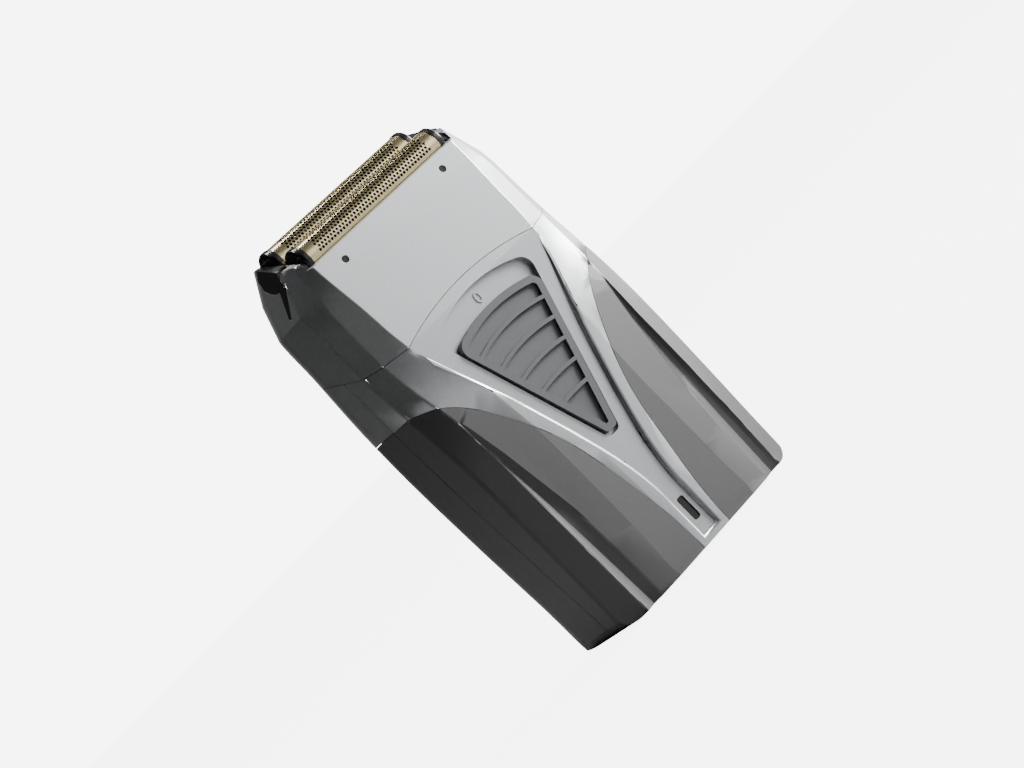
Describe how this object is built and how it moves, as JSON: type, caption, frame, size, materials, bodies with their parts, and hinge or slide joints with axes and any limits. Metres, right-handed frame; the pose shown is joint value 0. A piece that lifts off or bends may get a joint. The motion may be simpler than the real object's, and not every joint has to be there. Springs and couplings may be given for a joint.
{
  "type": "foil shaver",
  "caption": "Palm-size cordless foil shaver: silver and black handle with a triangular thumb slide, pull-off twin-foil head, oscillating cutters, motor, cell and charging inlet.",
  "frame": {"origin": "middle of the base, where the shaver stands upright", "axes": "+Z from the base up to the foils, -Y out of the front with the thumb slide, +X to the right as seen from the front"},
  "size_m": [0.0648, 0.0311, 0.1135],
  "materials": {
    "silver_paint": "fine metallic silver paint on moulded plastic, satin",
    "black_grip": "soft-touch black grip, satin",
    "black_plastic": "black moulded plastic, semi-gloss",
    "gold_foil": "gold-coloured coated steel foil, polished",
    "cutter_steel": "ground stainless blades",
    "inner_plastic": "dark grey moulded plastic, matte",
    "white_acetal": "natural acetal, low friction",
    "spring_steel": "drawn spring steel",
    "seal_rubber": "soft black seal",
    "screw_steel": "black-zinc screws",
    "smoked_lens": "smoked clear light lens",
    "led_resin": "clear light-emitting diode body",
    "board_laminate": "green glass-fibre laminate",
    "chip_resin": "black chip resin",
    "grey_button": "dark grey moulded slide, satin",
    "contact_nickel": "nickel-plated contacts",
    "cell_jacket": "heat-shrink jacket of a lithium cell",
    "motor_steel": "plated steel",
    "magnet_ferrite": "sintered ferrite",
    "contact_brass": "tinned brass tags",
    "copper_winding": "laminated core with enamelled copper winding"
  },
  "bodies": {
    "handle": {"front_shell": "silver_paint", "rear_shell": "silver_paint", "grip_left": "black_grip", "grip_right": "black_grip", "rear_grip": "black_grip", "case_screws": "screw_steel", "charge_light_lens": "smoked_lens", "charge_led": "led_resin", "circuit_board": "board_laminate", "board_components": "chip_resin", "board_screws": "screw_steel", "switch_housing": "inner_plastic", "inlet_collar": "black_plastic", "charge_jack": "black_plastic", "charge_pin": "contact_nickel", "battery_cell": "cell_jacket", "battery_contacts": "contact_nickel", "chassis": "inner_plastic", "motor_can": "motor_steel", "motor_magnets": "magnet_ferrite", "motor_end_bell": "inner_plastic", "motor_terminals": "contact_brass", "motor_screws": "screw_steel", "top_deck": "inner_plastic", "deck_seal": "seal_rubber", "head_uprights": "spring_steel"},
    "switch": {"switch_button": "grey_button", "switch_knob": "inner_plastic"},
    "rotor": {"motor_shaft": "motor_steel", "armature": "copper_winding", "eccentric_cam": "white_acetal"},
    "drive": {"oscillator": "white_acetal", "front_cutter_spring": "spring_steel", "rear_cutter_spring": "spring_steel"},
    "front_blades": {"front_cutter": "cutter_steel", "front_cutter_holder": "inner_plastic"},
    "rear_blades": {"rear_cutter": "cutter_steel", "rear_cutter_holder": "inner_plastic"},
    "head": {"head_cover": "silver_paint", "foil_cassette": "black_plastic"},
    "front_foil_set": {"front_foil": "gold_foil", "front_foil_frame": "black_plastic"},
    "rear_foil_set": {"rear_foil": "gold_foil", "rear_foil_frame": "black_plastic"}
  },
  "joints": [
    {"name": "switch_slide", "type": "slide", "parent": "handle", "child": "switch", "axis": [0, 0, 1], "range_m": [0, 0.0035]},
    {"name": "rotor_spin", "type": "hinge", "parent": "handle", "child": "rotor", "pos_m": [0, 0.003, 0.056], "axis": [0, 0, 1], "continuous": true},
    {"name": "oscillator_slide", "type": "slide", "parent": "handle", "child": "drive", "axis": [1, 0, 0], "range_m": [-0.0012, 0.0012], "stiffness_N_per_m": 800},
    {"name": "front_cutter_float", "type": "slide", "parent": "drive", "child": "front_blades", "axis": [0, 0.4067, -0.9135], "range_m": [0, 0.0012], "stiffness_N_per_m": 150, "deforming": ["front_cutter_spring"]},
    {"name": "rear_cutter_float", "type": "slide", "parent": "drive", "child": "rear_blades", "axis": [0, 0.4067, -0.9135], "range_m": [0, 0.0012], "stiffness_N_per_m": 150, "deforming": ["rear_cutter_spring"]},
    {"name": "head_lift", "type": "slide", "parent": "handle", "child": "head", "axis": [0, -0.4067, 0.9135], "range_m": [0, 0.009]},
    {"name": "front_foil_float", "type": "slide", "parent": "head", "child": "front_foil_set", "axis": [0, 0.4067, -0.9135], "range_m": [0, 0.0012], "stiffness_N_per_m": 300},
    {"name": "rear_foil_float", "type": "slide", "parent": "head", "child": "rear_foil_set", "axis": [0, 0.4067, -0.9135], "range_m": [0, 0.0012], "stiffness_N_per_m": 300}
  ],
  "couplings": [
    {"joint": "front_cutter_float", "follows": "front_foil_float", "ratio": 1},
    {"joint": "rear_cutter_float", "follows": "rear_foil_float", "ratio": 1}
  ]
}
